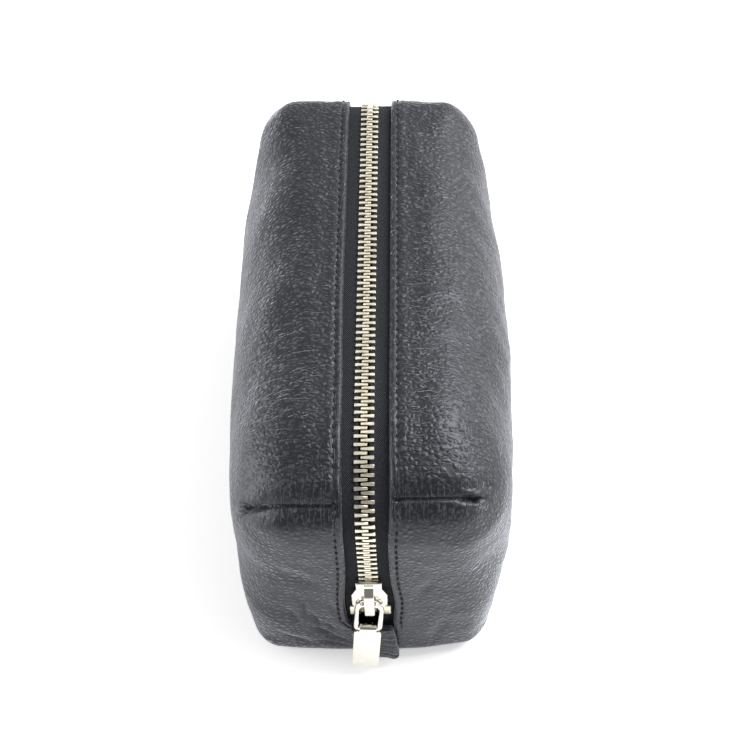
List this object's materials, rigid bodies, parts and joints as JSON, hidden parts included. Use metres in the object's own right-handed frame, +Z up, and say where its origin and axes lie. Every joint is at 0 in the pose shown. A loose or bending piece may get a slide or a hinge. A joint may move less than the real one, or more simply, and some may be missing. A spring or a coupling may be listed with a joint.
{
  "type": "travel organizer bag",
  "caption": "Boxy pebbled-leather wash bag whose metal zip runs over the top and down both ends, with a sliding zip slider, a swinging wire link and a folding pull tab.",
  "frame": {"origin": "on the floor, under the middle of the bag's base", "axes": "+X to the right across the bag, +Y along the bag from the closed end of the zip to its open end, +Z up out of the base"},
  "size_m": [0.1112, 0.2291, 0.115],
  "materials": {
    "leather": "pebbled grain, soft sheen",
    "foam": "felted foam",
    "lining": "woven",
    "board": "matt",
    "zip_tape": "woven twill",
    "zip_teeth": "polished nickel",
    "slider_metal": "polished nickel",
    "pull_metal": "polished"
  },
  "bodies": {
    "bag": {"left_panel": "leather", "right_panel": "leather", "near_end_tab": "leather", "far_end_tab": "leather", "left_interlining": "foam", "right_interlining": "foam", "left_lining": "lining", "right_lining": "lining", "base_board": "board", "left_zip_tape": "zip_tape", "right_zip_tape": "zip_tape", "left_teeth": "zip_teeth", "right_teeth": "zip_teeth", "top_stops": "zip_teeth", "bottom_stop": "zip_teeth"},
    "slider": {"slider_body": "slider_metal", "slider_crown": "slider_metal"},
    "link": {"pull_link": "pull_metal"},
    "pull": {"pull_tab": "pull_metal"}
  },
  "joints": [
    {"name": "slider_run", "type": "slide", "parent": "bag", "child": "slider", "axis": [0, 0, 1], "range_m": [0, 0.0245], "deforming": ["left_teeth", "right_teeth"]},
    {"name": "link_swing", "type": "hinge", "parent": "slider", "child": "link", "pos_m": [0, -0.1106, 0.045], "axis": [-1, 0, 0], "range_deg": [0, 150]},
    {"name": "pull_fold", "type": "hinge", "parent": "link", "child": "pull", "pos_m": [-0.00115, -0.11247, 0.03057], "axis": [-0.9969, 0.0101, 0.0778], "range_deg": [0, 30]}
  ]
}
